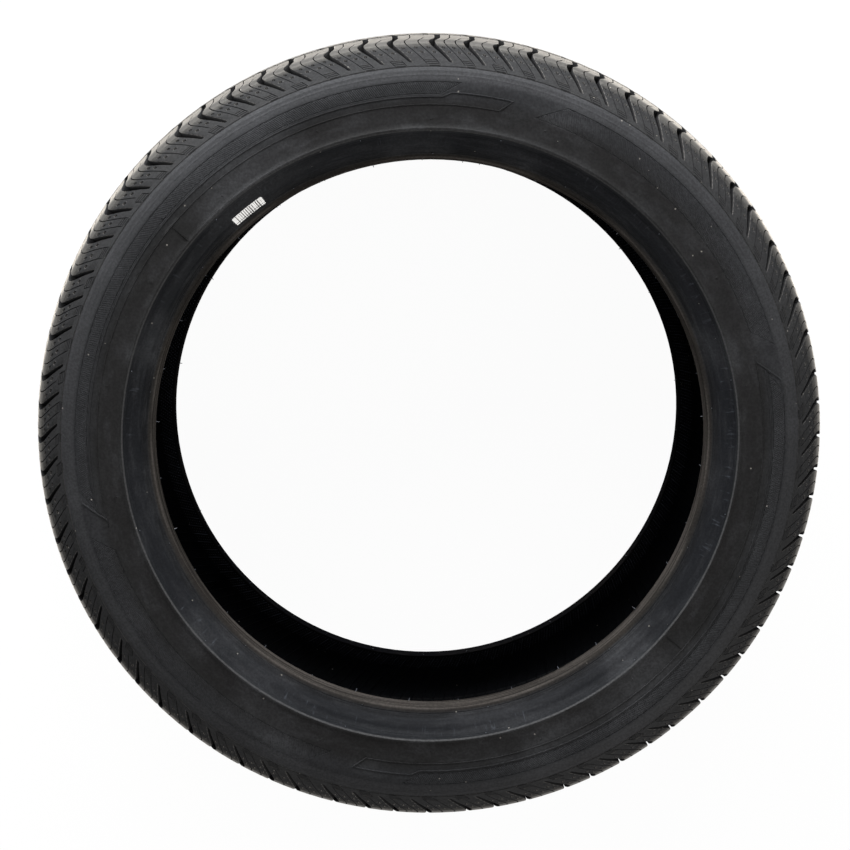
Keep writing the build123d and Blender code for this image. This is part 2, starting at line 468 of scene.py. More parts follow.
def make_wall_finish():
    """Cleaner rubber for the shoulder wall, without the tread's sheen: painted sheen makes it paler just
    below the corner, and the scoops' shallow ends are painted pale as highlights.
    """
    material, tree, shader, place = start_finish("shoulder_wall_rubber")
    # painted sheen: the wall is paler just below the corner and fades to its own tone further down
    below = ramp(tree, calc(tree, "ABSOLUTE", place["Height"]), 96.5, 100.0)
    colour = mix_colour(tree, below, (0.048, 0.046, 0.043, 1), (0.0205, 0.0206, 0.0212, 1))
    # painted highlight: the shallow ends of the scoops, marked below -1.3, are painted pale
    mark = add(tree, "ShaderNodeAttribute", attribute_name="cut").outputs["Fac"]
    colour = mix_colour(tree, ramp(tree, mark, -1.3, -2.6), colour, (0.078, 0.076, 0.073, 1))
    rubber_finish(tree, shader, colour, (0.032, 0.031, 0.030, 1), (0.25, 0.25, 0.4, 0.3), 0.01, 0.48)
    return material


def make_cut_finish():
    """Painted shade in the cuts: near-black rubber on their floors and walls, painted blacker where they are
    deep.
    """
    material, tree, shader, _ = start_finish("tread_cut_rubber")
    mark = add(tree, "ShaderNodeAttribute", attribute_name="cut").outputs["Fac"]
    # painted shade: the colour darkens with the cut's depth mark
    deep = ramp(tree, mark, 0.3, 0.7)
    colour = mix_colour(tree, deep, (0.015, 0.015, 0.0155, 1), (0.006, 0.006, 0.0062, 1))
    rubber_finish(tree, shader, colour, (0.024, 0.023, 0.022, 1), (0.2, 0.2, 0.1, 0.3), 0.0)
    return material


tread_finishes = (make_tread_finish(), make_cut_finish(), make_wall_finish())
print("made", [finish.name for finish in tread_finishes])

# %% [markdown]
# ## Pitches
# A tread whose blocks were all the same length would whine at one note, so tyres mix a few pitch lengths
# in an uneven order. The same order is in the CAD model. Pitches are counted against the clock from +X,
# and a cell runs with the clock, so a cell starts where its pitch ends.

# %% Pitch row
pitch_lengths = {"s": 26.0, "m": 30.5, "l": 37.0}
pitch_order = "mslmsmlsmlsm" * 6
pitch_ends = np.cumsum([pitch_lengths[letter] for letter in pitch_order])
pitch_reach = float(pitch_ends[-1])
pitch_r = pitch_reach / (2 * math.pi)
pitch_starts = [-float(end) for end in pitch_ends]
pitch_kinds = ["sml".index(letter) for letter in pitch_order]
print(len(pitch_order), "pitches on a circle of radius", round(pitch_r, 2))

# %% [markdown]
# ## Shoulder section
# The shoulder ring runs from the floor of the outer groove, up the groove's wall, across the shoulder
# rib, round the corner and down the shoulder wall to the step where the sidewall starts. It closes
# through the inside of the rubber, where nobody sees it.

# %% Shoulder outline
slot_mouth_z = outer_groove_z + groove_width / 2 - groove_draft
rib_edge_z = outer_groove_z + groove_width / 2
groove_floor_r = tread_r(outer_groove_z) - tread_depth
slot_depth = 7.0
slot_foot_depth = 1.6
slot_foot_z = flank_end.y - 4.2
slot_ramp_z = slot_foot_z + 0.8
edge_round = 0.5


def flank_point(z):
    """A point of the straight shoulder wall."""
    return Vector((flank_start.x - (z - flank_start.y) * math.tan(flank_angle), z))


slot_floor = {
    slot_mouth_z: tread_r(slot_mouth_z) - slot_depth,
    tread_edge_z: tread_r(tread_edge_z) - slot_depth,
    slot_foot_z: flank_point(slot_foot_z).x - slot_foot_depth,
}
wall_slope = groove_draft / (tread_r(rib_edge_z) - groove_floor_r)
mouth_r = slot_floor[slot_mouth_z]
shoulder_face = [
    Vector((groove_floor_r, slot_mouth_z)),
    Vector((mouth_r, slot_mouth_z + (mouth_r - groove_floor_r) * wall_slope)),
    Vector((tread_r(rib_edge_z) - edge_round, rib_edge_z - edge_round * wall_slope)),
    *[tread_point(z) for z in (rib_edge_z + edge_round, 67.0, 75.0, 81.5, tread_edge_z)],
]
corner_steps = 5
for i in range(1, corner_steps):
    angle = turn_start + (flank_angle - turn_start) * i / corner_steps
    shoulder_face.append(turn_centre + shoulder_radius * Vector((math.cos(angle), math.sin(angle))))
flank_rows = (97.8, 100.5, 103.5, 107.0, 110.0, slot_foot_z, slot_ramp_z)
shoulder_face += [flank_start, *[flank_point(z) for z in flank_rows]]
shoulder_face += [flank_end - 0.3 * Vector((-1, 1)), flank_end - 0.3 * flank_normal, step_foot]
shoulder_back = [Vector(p) for p in ((314.3, 110.9), (323.0, 98.0), (331.5, 75.0), (335.0, 56.2))]
shoulder_section = shoulder_face + shoulder_back
shoulder_s = run_lengths(shoulder_section)
face_end_s = shoulder_s[len(shoulder_face) - 1]
print("shoulder face is", round(face_end_s, 1), "mm from groove to step")

# %% [markdown]
# ## Cuts in the shoulder blocks
# One pitch of the shoulder has a wide slot, one or two thin sipes that let the block flex, pairs of small
# dimples below the corner and a hatched patch at the foot. Slots and sipes run across the tread, bend
# like a tick on the corner and lean with the clock down the shoulder wall. In the cell they are drawn
# straight, and the lean is added to every vertex at the end, so each cut is only a few parallel lines.
# The lean path gives that shift in millimetres at each distance from the mid plane.

# %% Paths and depths of the cuts
slot_width = 5.0
slot_foot_width = 2.6
slot_lip = 0.4
sipe_half = 0.5
hook_z = 80.0
lean_path = {58.0: 3.0, 78.0: 3.0, 84.0: 2.2, 88.0: 0.7, 90.0: -0.6, 92.0: -1.8, 94.0: -2.2, 96.0: -1.2}
lean_path |= {98.0: 0.6, 103.0: 6.0, 108.0: 11.0, 112.4: 14.8, 116.0: 17.6}
lean_rows = (list(lean_path), list(lean_path.values()))


def s_at(z):
    """Place along the shoulder face at a distance from the mid plane."""
    rows = len(shoulder_face) - 2
    return float(np.interp(z, [p.y for p in shoulder_face[:rows]], shoulder_s[:rows]))


def r_at(s):
    """Radius of the shoulder face."""
    return float(np.interp(s, shoulder_s[:-1], [p.x for p in shoulder_section]))


def z_at(s):
    """Distance of the shoulder face from the mid plane."""
    return float(np.interp(s, shoulder_s[:-1], [p.y for p in shoulder_section]))


def slot_half(z):
    """Half the slot's width, which narrows down the shoulder wall."""
    widths = (slot_width, 1.08 * slot_width, slot_width, 0.7 * slot_width, slot_foot_width)
    return np.interp(z, (86.0, 93.0, 100.0, 107.0, 112.0), widths) / 2


def slot_drop(r, z):
    """Depth of the slot's floor below the face, with a ramp at its blind foot."""
    floor = r - np.interp(z, list(slot_floor), list(slot_floor.values()))
    ramp_up = slot_foot_depth * np.clip((slot_ramp_z - z) / (slot_ramp_z - slot_foot_z), 0, 1)
    return np.maximum(0, np.where(z > slot_foot_z, ramp_up, floor))


def sipe_drop(r, z, start):
    """Depth of a sipe that starts at a distance from the mid plane."""
    depth = np.interp(z, (rib_edge_z, tread_edge_z, 110.0, flank_end.y), (5.0, 4.5, 1.6, 0.8))
    depth = np.where(z < rib_edge_z, np.maximum(0, r - tread_r(rib_edge_z) + 5.0), depth)
    return depth * np.clip((z - start) / 0.8, 0, 1)


print("slots lean", lean_path[116.0], "mm round the tyre down to the step")

# %% [markdown]
# ### Drawing with lines
# A few small tools serve every cell: how far a point is from a path, a path beside a path, and how deep a
# point lies inside an outline. With them a cut is one centre line, the two edge lines that make its
# crease, and a depth by distance.

# %% Path tools
def from_path(c, s, path):
    """Distance of points to a path of straight runs."""
    best = np.full(c.shape, np.inf)
    for (c0, s0), (c1, s1) in zip(path, path[1:]):
        dc, ds = c1 - c0, s1 - s0
        share = np.clip(((c - c0) * dc + (s - s0) * ds) / (dc * dc + ds * ds), 0, 1)
        best = np.minimum(best, np.hypot(c - c0 - share * dc, s - s0 - share * ds))
    return best


def beside(path, distance, closed=False):
    """The path to the left of another at a distance, with mitred corners."""
    points = [Vector(p) for p in path]
    moved = []
    for i, here in enumerate(points):
        before = points[i - 1] if i or closed else None
        after = points[(i + 1) % len(points)] if i + 1 < len(points) or closed else None
        runs = [(here - before).normalized()] if before else []
        runs += [(after - here).normalized()] if after else []
        sides = [Vector((-run.y, run.x)) for run in runs]
        mitre = sum(sides, Vector((0, 0)))
        moved.append(here + mitre * (distance * len(sides) / mitre.length_squared))
    return [tuple(p) for p in moved]


def inside(c, s, corners):
    """How deep points lie inside a convex outline that runs anticlockwise; negative outside."""
    depth = np.full(c.shape, np.inf)
    for (c0, s0), (c1, s1) in zip(corners, corners[1:] + corners[:1]):
        dc, ds = c1 - c0, s1 - s0
        depth = np.minimum(depth, (dc * (s - s0) - ds * (c - c0)) / math.hypot(dc, ds))
    return depth


def closed_path(corners):
    """A closed outline as a path."""
    return [*corners, corners[0]]


def round_path(c0, s0, radius, stretch, corners):
    """A ring of a few corners round a place, stretched along c for the pitch circle."""
    turns = [2 * math.pi * i / corners for i in range(corners)]
    return closed_path([(c0 + stretch * radius * math.cos(t), s0 + radius * math.sin(t)) for t in turns])


def columns_of(width, count, low, high):
    """Lines from low to high along the section that divide a cell into columns."""
    return [[(width * i / count, low), (width * i / count, high)] for i in range(1, count)]


# %% [markdown]
# ### Slots and sipes
# Each kind of cut adds its crease lines to the cell and gives back a function of depth. A slot has a
# small lip, a steep wall and a flat floor. A sipe is only a thin blade, so its two walls meet in a sharp
# floor.

# %% Slots and sipes
def slot_wall(full):
    """How far the slot's wall reaches inwards for its depth."""
    return 0.35 + 0.09 * full


def slot_cut(width, creases):
    """The two half slots at the ends of the cell."""
    rows = [s for s, p in zip(shoulder_s, shoulder_face) if mouth_r <= p.x + 1e-6 or p.y > rib_edge_z]
    rows = [s for s in rows if s_at(slot_mouth_z) < s <= s_at(slot_ramp_z) + 1e-6]
    for share in (-1, 0, 1):
        path = []
        for s in rows:
            r, z = r_at(s), z_at(s)
            away = slot_half(z) + (slot_lip if share > 0 else share * slot_wall(slot_drop(r, z)))
            path.append((float(away * pitch_r / r), s))
        creases.append(path)
        creases.append([(width - c, s) for c, s in path])

    def depth(c, s, r, z):
        off = np.minimum(c, width - c) * r / pitch_r
        full = slot_drop(r, z)
        lip = np.clip((slot_half(z) + slot_lip - off) / slot_lip, 0, 1)
        wall = np.clip((slot_half(z) - off) / slot_wall(full), 0, 1)
        return np.minimum(full, slot_lip) * lip + np.maximum(full - slot_lip, 0) * wall

    return depth


def sipe_cut(centre, start, end, creases):
    """A thin straight blade cut along the slot's direction."""
    rows = [s for s in shoulder_s[: len(shoulder_face)] if s_at(start) < s < s_at(end)]
    rows = [s_at(start), *rows, s_at(end)]
    for side in (-1, 0, 1):
        creases.append([(centre + side * sipe_half * pitch_r / r_at(s), s) for s in rows])

    def depth(c, s, r, z):
        off = np.abs(c - centre) * r / pitch_r
        within = np.clip((end - z) / 0.5, 0, 1)
        return sipe_drop(r, z, start) * np.clip(1 - off / sipe_half, 0, 1) * within

    return depth


# %% [markdown]
# ### Fine cuts
# The small marks are drawn with the same idea: an engraved line follows a path, a dimple is a scoop between
# two rings of a few corners, and a patch is a stack of engraved lines.

# %% Fine cuts
dimple_r = 1.6
dimple_depth = 2.1
patch_rows = (110.3, 111.9, 113.5, 115.1)


def thread_cut(path, half, deep, creases):
    """A fine engraved line along a path, with pointed ends."""
    points = [Vector(p) for p in path]
    points[0] = points[0] + half * (points[1] - points[0]).normalized()
    points[-1] = points[-1] - half * (points[-1] - points[-2]).normalized()
    core = [tuple(p) for p in points]
    for side in (-half, 0.0, half):
        creases.append([path[0], *beside(core, side), path[-1]])
    return lambda c, s, r, z: deep * np.clip(1 - from_path(c, s, core) / half, 0, 1)


def dimple_cut(c0, z0, creases):
    """A small round scoop, deep at the tread's side and shallow at the sidewall's."""
    s0 = s_at(z0)
    stretch = pitch_r / r_at(s0)
    creases += [round_path(c0, s0, radius, stretch, 8) for radius in (dimple_r, 0.75 * dimple_r)]

    def depth(c, s, r, z):
        off = np.hypot((c - c0) / stretch, s - s0)
        scoop = np.clip(0.55 - 0.6 * (s - s0) / dimple_r, 0, 1)
        return dimple_depth * scoop * np.clip((dimple_r - off) / (0.25 * dimple_r), 0, 1)

    return depth


def patch_cuts(left, right, framed, creases):
    """A patch of fine lines that run round the tyre, with lines down its sides if it is framed."""
    paths = [[(left, s_at(z)), (right, s_at(z))] for z in patch_rows]
    if framed:
        ends = (s_at(patch_rows[0] - 0.3), s_at(patch_rows[-1] + 0.3))
        paths += [[(c, ends[0]), (c, ends[1])] for c in (left - 0.6, right + 0.6)]
    return [thread_cut(path, 0.5, 1.6, creases) for path in paths]


# %% [markdown]
# ### One shoulder cell
# The cell starts in the middle of a slot and ends in the middle of the next. Cuts are added one kind at a
# time, and the deepest cut wins at every vertex. Beside each cut stands the depth at which it is painted
# black as shade. The shallow ends of the scoops are marked -3, for the wall's finish to paint them pale
# as highlights. A short pitch has one sipe that ends at a framed patch; the longer ones have two with a
# patch between.

# %% Shoulder cell
wall_z = 97.0
dimple_rows = ((99.3, -0.35), (103.3, 0.35))
# depths at which each kind of cut is painted fully black as shade
slot_black, thin_black, scoop_black = 4.0, 0.3, 1.2


def shoulder_cell(letter):
    """One pitch of the shoulder."""
    width = pitch_lengths[letter]
    single = letter == "s"
    sipes = [share * width for share in ((0.52,) if single else (0.35, 0.67))]
    hooked = sipes[-1]
    rib_start, foot_end = slot_mouth_z + 0.5, flank_end.y - 0.5
    hook_end = patch_rows[0] - 0.6 if single else foot_end
    creases = []
    cuts = [(slot_cut(width, creases), slot_black)]
    if not single:
        cuts.append((sipe_cut(sipes[0], rib_start, foot_end, creases), thin_black))
    cuts.append((sipe_cut(hooked, hook_z, hook_end, creases), thin_black))
    cuts.append((sipe_cut(hooked, rib_start, 66.0, creases), thin_black))
    bend = [(hooked, 1.2), (hooked + 0.7, -0.6), (hooked + 2.6, -1.6), (width - slot_width / 2 - 0.1, -2.6)]
    bend = [(c, s_at(hook_z + rise)) for c, rise in bend]
    cuts.append((thread_cut(bend, 0.4, 1.2, creases), thin_black))
    limits = [slot_width / 2 - 0.5, *sipes, width - slot_width / 2 + 0.5]
    scoops = []
    for left, right in zip(limits, limits[1:]):
        scoops += [dimple_cut((left + right) / 2 + shift, z, creases) for z, shift in dimple_rows]
    cuts += [(scoop, scoop_black) for scoop in scoops]
    patch = (hooked - 4.6, hooked + 4.6) if single else (sipes[0] + 0.6, hooked - 0.6)
    cuts += [(cut, thin_black) for cut in patch_cuts(*patch, single, creases)]
    creases += columns_of(width, 6, s_at(flank_end.y), shoulder_s[-1]) + columns_of(width, 6, 0.0, 0.01)

    def shape(c, s, r, z, normal):
        face = s < face_end_s - 0.5
        drops = [cut(c, s, r, z) for cut, _ in cuts]
        marks = [np.clip(drop / black, 0, 3) for drop, (_, black) in zip(drops, cuts)]
        drop, cut_mark = np.max(drops, axis=0), np.max(marks, axis=0)
        back = (shoulder_s[-1] - s) / (shoulder_s[-1] - face_end_s)
        lean = np.where(s > face_end_s, lean_path[116.0] * back, np.interp(z, *lean_rows))
        drop = np.where(face, drop, 0)
        mark = np.where(face & (z > wall_z), -1.0, 0.0)
        # cuts deep enough take the cut finish, which paints them black as shade
        mark = np.where((drop > 0.05) & (cut_mark > 0.02), cut_mark, mark)
        scooped = np.max([scoop(c, s, r, z) for scoop in scoops], axis=0)
        # the scoops' shallow ends are marked -3 for a painted highlight
        mark = np.where((scooped > 0.05) & (scooped < 0.35 * dimple_depth), -3.0, mark)
        return c + lean * pitch_r / r, r - drop, z, mark

    return make_cell("shoulder_cell_" + str("sml".index(letter)), width, shoulder_section, creases, shape)


shoulder_cells = cell_collection("shoulder_cells", [shoulder_cell(letter) for letter in "sml"])

# %% [markdown]
# ### Both shoulders
# The same three cells make the upper shoulder and, turned over, the lower one. Both follow the row of
# pitches.

# %% Roll both shoulders
for name, facing in (("tread_shoulder_outer", 1.0), ("tread_shoulder_inner", -1.0)):
    roll(name, pitch_starts, pitch_kinds, shoulder_cells, pitch_reach, tread_finishes, facing)

# %% [markdown]
# ## Crown
# Between the two outer grooves lie three ribs with two more grooves. The ring is drawn from below the
# lower shoulder to below the upper one, so the shoulders hide its ends. Its pattern is the same if the
# tyre is turned over, so every cut on the upper half has a partner at the other end of the cell.

# %% Crown outline
notch_depth = 5.0
rib_slot_depth = 6.0
inner_floor_r = tread_r(inner_groove_z) - tread_depth
crown_reach_z = 57.2


def wall_point(edge_z, side, drop):
    """A point of a groove's wall below the rib's edge. side is +1 where the groove lies above the rib."""
    return Vector((tread_r(edge_z) - drop, edge_z + side * drop * wall_slope))


def rib_side(edge_z, side, mouth):
    """The wall and the rounded edge of a rib, from the rib outwards."""
    top = Vector((tread_r(edge_z), edge_z - side * edge_round))
    return [top, wall_point(edge_z, side, edge_round), wall_point(edge_z, side, mouth)]


inner_near, inner_far = inner_groove_z - groove_width / 2, inner_groove_z + groove_width / 2
outer_near = outer_groove_z - groove_width / 2
upper_half = [
    tread_point(0.0),
    tread_point(7.0),
    *rib_side(inner_near, 1, notch_depth),
    Vector((inner_floor_r, inner_near + groove_draft)),
    Vector((inner_floor_r, inner_far - groove_draft)),
    *reversed(rib_side(inner_far, -1, notch_depth)),
    *[tread_point(z) for z in (30.0, 36.0, 42.0)],
    *rib_side(outer_near, 1, rib_slot_depth),
    Vector((groove_floor_r, outer_near + groove_draft)),
    Vector((groove_floor_r, crown_reach_z)),
]
crown_face = [Vector((p.x, -p.y)) for p in reversed(upper_half[1:])] + upper_half
crown_back = [Vector(p) for p in ((336.5, crown_reach_z), (338.5, 0.0), (336.5, -crown_reach_z))]
crown_section = crown_face + crown_back
crown_s = run_lengths(crown_section)
print("crown section has", len(crown_section), "points")

# %% [markdown]
# ### Rib cuts
# A rib has slots that open into a groove and end blind, notches and thin sipes. Each is a straight cut
# with a flat or a sharp floor; the slant is added afterwards, as on the shoulder. The table gives each
# cut's place as a share of the pitch, where it opens and ends, half its width, half its floor and its depth.

# %% Crown cell
crown_slant = 0.42
slot_open, sipe_open = outer_near + groove_draft, inner_far - groove_draft
notch_open = inner_near + groove_draft
rib_cuts = (
    (0.30, slot_open, 33.0, 1.7, 1.1, rib_slot_depth),
    (0.30, sipe_open, 32.0, 0.4, 0.0, 4.0),
    (0.80, slot_open, 27.0, 0.4, 0.0, 4.5),
    (0.22, notch_open, 6.0, 1.5, 0.8, notch_depth),
    (0.62, notch_open, -3.0, 0.4, 0.0, 4.5),
)


def crown_at(z):
    """Place along the crown at a height over the mid plane."""
    return float(np.interp(z, [p.y for p in crown_face], crown_s[: len(crown_face)]))


def rib_cut(centre, z_from, z_to, half, flat, depth, creases):
    """A cut from a groove at z_from to its blind end at z_to. flat is half the width of its floor."""
    ramp_length = 1.0
    toward = 1.0 if z_to > z_from else -1.0
    stations = [z_to, z_to - toward * ramp_length, z_from]
    limits = sorted((crown_at(z_from), crown_at(z_to)))
    between = [s for s in crown_s[: len(crown_face)] if limits[0] < s < limits[1]]
    rows = sorted({*(crown_at(z) for z in stations), *between})
    for off in sorted({-half, -flat, flat, half}):
        creases.append([(centre + off, s) for s in rows])
    for z in stations[:2]:
        creases.append([(centre - half, crown_at(z)), (centre + half, crown_at(z))])

    def drop(c, s, r, z):
        across = np.clip((half - np.abs(c - centre)) / (half - flat), 0, 1)
        end = np.clip(toward * (z_to - z) / ramp_length, 0, 1)
        along = (toward * (z - z_from) >= -1e-3) & (toward * (z_to - z) >= -1e-3)
        return np.where(along, np.maximum(0, r - tread_r(z) + depth) * across * end, 0)

    return drop


def crown_cell(letter):
    """One pitch of the three middle ribs."""
    width = pitch_lengths[letter]
    creases, cuts = [], []
    for side in (1, -1):
        for share, opening, end, *sizes in rib_cuts:
            centre = (share if side > 0 else 1 - share) * width
            cuts.append(rib_cut(centre, side * opening, side * end, *sizes, creases))
    creases += columns_of(width, 4, 0.0, crown_s[-1])

    def shape(c, s, r, z, normal):
        drop = np.max([cut(c, s, r, z) for cut in cuts], axis=0)
        drop = np.where(s <= crown_s[len(crown_face) - 1], drop, 0)
        below = tread_r(z) - r + drop
        # the last value is the depth mark that paints grooves and cuts black as shade through the cut finish
        return c + crown_slant * z, r - drop, z, np.clip(below / 4.8, 0, 1)

    return make_cell("crown_cell_" + str("sml".index(letter)), width, crown_section, creases, shape)


crown_cells = cell_collection("crown_cells", [crown_cell(letter) for letter in "sml"])
roll("tread_crown", pitch_starts, pitch_kinds, crown_cells, pitch_reach, tread_finishes)

# %% [markdown]
# ## Sidewall section
# The sidewall bulges out from under the shoulder, runs flat across the wide middle, rises to the rim
# protector and falls through a hollow to the bead, where the rim's flange sits. Rings that go all the way
# round are part of the section itself, which is cheaper than carving them afterwards.

# %% Sidewall outline
sidewall_z = 121.0
bulge_end = Vector((301.0, sidewall_z))
ramp_foot = Vector((272.0, sidewall_z))
crest_points = ((268.8, 121.6), (267.6, half_width), (266.3, half_width), (265.1, 121.3), (264.5, 120.1))
crest = [Vector(p) for p in crest_points]
cone_top, cone_foot = Vector((255.5, 111.47)), Vector((246.99, 102.18))
heel_top, land_outer = Vector((245.3, 101.5)), Vector((241.8, 97.6))
land_inner, toe_end = Vector((240.5, 84.5)), Vector((242.3, 82.5))
apex_top, liner_waist = Vector((258.0, 97.0)), Vector((284.0, 112.0))
liner_shoulder, liner_edge = Vector((304.0, 111.0)), Vector((327.95, 75.0))


def with_rings(path, rings):
    """A path towards the axle with ridges on it, each given by radius, half width and height."""
    points = list(path)
    inward, heights = [-p.x for p in path], [p.y for p in path]
    for ring_r, half, height in rings:
        foot = [Vector((r, np.interp(-r, inward, heights))) for r in (ring_r + half, ring_r - half)]
        along = foot[1] - foot[0]
        lift = height * Vector((along.y, -along.x)).normalized()
        ridge = [foot[0], foot[0] + 0.3 * along + lift, foot[0] + 0.7 * along + lift, foot[1]]
        outside = [p for p in points if p.x > ring_r + half]
        points = outside + ridge + [p for p in points if p.x < ring_r - half]
    return points


rings = [(315.3, 0.8, 0.15), (311.7, 0.8, 0.15), (262.6, 0.5, 0.12), (252.6, 0.5, 0.15)]
rings += [(ring_r, 0.4, 0.2) for ring_r in (249.2, 247.8, 246.3)]
flat_middle = [Vector((radius, sidewall_z)) for radius in (290.0, 280.0)]
outer_path = [step_foot, *arc(step_foot, bulge_end, -1.3, 6), *flat_middle, ramp_foot]
outer_path += [*crest, *arc(crest[-1], cone_top, 1.6, 5), cone_foot, heel_top]
bead = [*arc(heel_top, land_outer, -1.0, 4), land_inner, toe_end]
toe_run = (apex_top - toe_end).normalized()
toe_lap = toe_end + 1.6 * toe_run
hidden = [toe_lap, toe_lap + 0.8 * Vector((-toe_run.y, toe_run.x))]
hidden_points = ((257.2, 98.0), (269.2, 107.4), (283.8, 113.0), (304.0, 112.2), (319.2, 114.16))
hidden += [Vector(p) for p in hidden_points]
sidewall_section = [*with_rings(outer_path, rings), *bead, *hidden]
shown_points = len(sidewall_section) - len(hidden)
sidewall_s = run_lengths(sidewall_section)
print("sidewall section has", len(sidewall_section), "points")

# %% [markdown]
# ## Sidewall relief
# The moulded decoration is the same twice round the tyre, so the cell is half a turn. It has a band of
# long panels filled with fine slanted ribs, framed by raised lines that step from one radius to another,
# and slanted ends between the panels. The panels are left plain. Places are given as degrees round from
# the cell's start, with the clock, and as radii.

# %% Relief tools
side_r = 300.0
side_width = math.pi * side_r
panel_outer_r, panel_inner_r = 306.3, 295.2


def side_point(degrees, radius):
    """A place of the sidewall in the flat cell."""
    inward = [-p.x for p in sidewall_section[: shown_points + 1]]
    s = np.interp(-radius, inward, sidewall_s[: shown_points + 1])
    return side_width * degrees / 180, float(s)


def clip_run(start, end, corners):
    """The stretch of a straight run inside a convex outline, or None."""
    low, high = 0.0, 1.0
    for (c0, s0), (c1, s1) in zip(corners, corners[1:] + corners[:1]):
        out_c, out_s = s1 - s0, c0 - c1
        gap = out_c * (start[0] - c0) + out_s * (start[1] - s0)
        rate = out_c * (end[0] - start[0]) + out_s * (end[1] - start[1])
        if abs(rate) < 1e-9:
            if gap > 0:
                return None
        elif rate > 0:
            high = min(high, -gap / rate)
        else:
            low = max(low, -gap / rate)
    if high - low < 1e-6:
        return None
    return [tuple(a + (b - a) * t for a, b in zip(start, end)) for t in (low, high)]


def in_cell(path):
    """A path cut to the cell, run by run."""
    frame_corners = [(0.0, 0.0), (side_width, 0.0), (side_width, sidewall_s[-1]), (0.0, sidewall_s[-1])]
    runs = [clip_run(a, b, frame_corners) for a, b in zip(path, path[1:])]
    return [run for run in runs if run]


print("half a turn of sidewall is", round(side_width), "mm in the flat")

# %% [markdown]
# ### Kinds of relief
# A raised line has a flat top, a hatched panel has an engraved outline and fine slanted ribs, and a pip
# is a low round boss. Each adds its creases and gives back a function of height, as the cuts of the tread
# did.

# %% Relief kinds
def raised_line(path, half, height, creases):
    """A raised line with a flat top along a path."""
    for off in (-half, -0.5 * half, 0.5 * half, half):
        creases.extend(in_cell(beside(path, off)))
    for end in (0, -1):
        creases.extend(in_cell([beside(path, -half)[end], beside(path, half)[end]]))
    return lambda c, s: height * np.clip((half - from_path(c, s, path)) / (0.5 * half), 0, 1)


def hatched_panel(corners, creases):
    """A panel with an engraved outline, filled with fine slanted ribs that divide the half turn evenly."""
    rib_count = 540
    rib_height = 0.25
    slant = 0.55
    pitch = side_width / rib_count
    edge = 0.5
    inner = beside(corners, 2 * edge, closed=True)
    for off in (0.0, edge, 2 * edge):
        creases.extend(in_cell(closed_path(beside(corners, off, closed=True))))
    low, high = min(s for _, s in inner), max(s for _, s in inner)
    first = int(min(c for c, _ in inner) / pitch * 2) - 20
    last = int(max(c for c, _ in inner) / pitch * 2) + 20
    for i in range(first, last):
        start = (i * pitch / 2 + slant * low, low)
        end = (i * pitch / 2 + slant * high, high)
        run = clip_run(start, end, inner)
        if run:
            creases.extend(in_cell(run))

    def height(c, s):
        wave = 1 - np.abs(((c - slant * s) / pitch) % 1 - 0.5) * 2
        depth = np.clip(inside(c, s, corners) / edge, 0, 2)
        groove = -0.35 * (1 - np.abs(depth - 1))
        return groove + np.clip(depth - 1, 0, 1) * rib_height * (wave - 0.6)

    return height


def pip(degrees, radius, size, height, creases):
    """A small round boss, where the mould was vented."""
    c0, s0 = side_point(degrees, radius)
    stretch = side_r / radius
    creases += [round_path(c0, s0, r, stretch, 7) for r in (size, 0.55 * size)]
    return lambda c, s: height * np.clip((size - np.hypot((c - c0) / stretch, s - s0)) / (0.45 * size), 0, 1)


# %% [markdown]
# ### The sidewall cell
# Half a turn takes two long panels, which run past its ends and are clipped there, a shorter plain-ended
# one between them, the raised lines and a row of pips. The bead's seat is marked, so that it takes its
# own finish.

# %% Sidewall cell
def sidewall_cell():
    """Half a turn of the sidewall with its bead."""
    creases, raised = columns_of(side_width, 72, 0.0, sidewall_s[-1]), []
    for first, last in ((-52.0, 55.1), (128.0, 235.1)):
        panel = [(first + 3.9, panel_outer_r), (last, panel_outer_r)]
        panel += [(last - 3.4, panel_inner_r), (first, panel_inner_r)]
        raised.append(hatched_panel([side_point(*p) for p in panel], creases))
        steps = [(first, 293.5), (last - 3.2, 293.5), (last - 1.7, 297.2)]
        steps += [(last + 8.4, 297.2), (last + 6.4, 287.0)]
        raised.append(raised_line([side_point(*p) for p in steps], 0.6, 0.6, creases))
        low_line = [side_point(first - 2.5, 287.0), side_point(last + 6.4, 287.0)]
        raised.append(raised_line(low_line, 0.5, 0.5, creases))
        bar = [side_point(first - 1.6, 288.0), side_point(first + 2.0, 305.5)]
        raised.append(raised_line(bar, 0.9, 0.6, creases))
    plain = [(72.2, panel_outer_r), (124.4, panel_outer_r), (121.0, 288.4), (67.4, 288.4)]
    raised.append(hatched_panel([side_point(*p) for p in plain], creases))
    for i in range(9):
        raised.append(pip(10.0 + 20 * i, 281.5 if i % 2 else 275.0, 0.9, 0.5, creases))

    def shape(c, s, r, z, normal):
        shown = s < sidewall_s[shown_points - 1]
        rise = sum(height(c, s) for height in raised)
        rise = np.where(shown, np.clip(rise, -0.35, 0.6), 0)
        seat = np.where(shown & (r < heel_top.x - 1.0), 1.0, 0.0)
        return c, r + rise * normal[0], z + rise * normal[1], seat

    return make_cell("sidewall_cell_0", side_width, sidewall_section, creases, shape)


sidewall_cells = cell_collection("sidewall_cells", [sidewall_cell()])
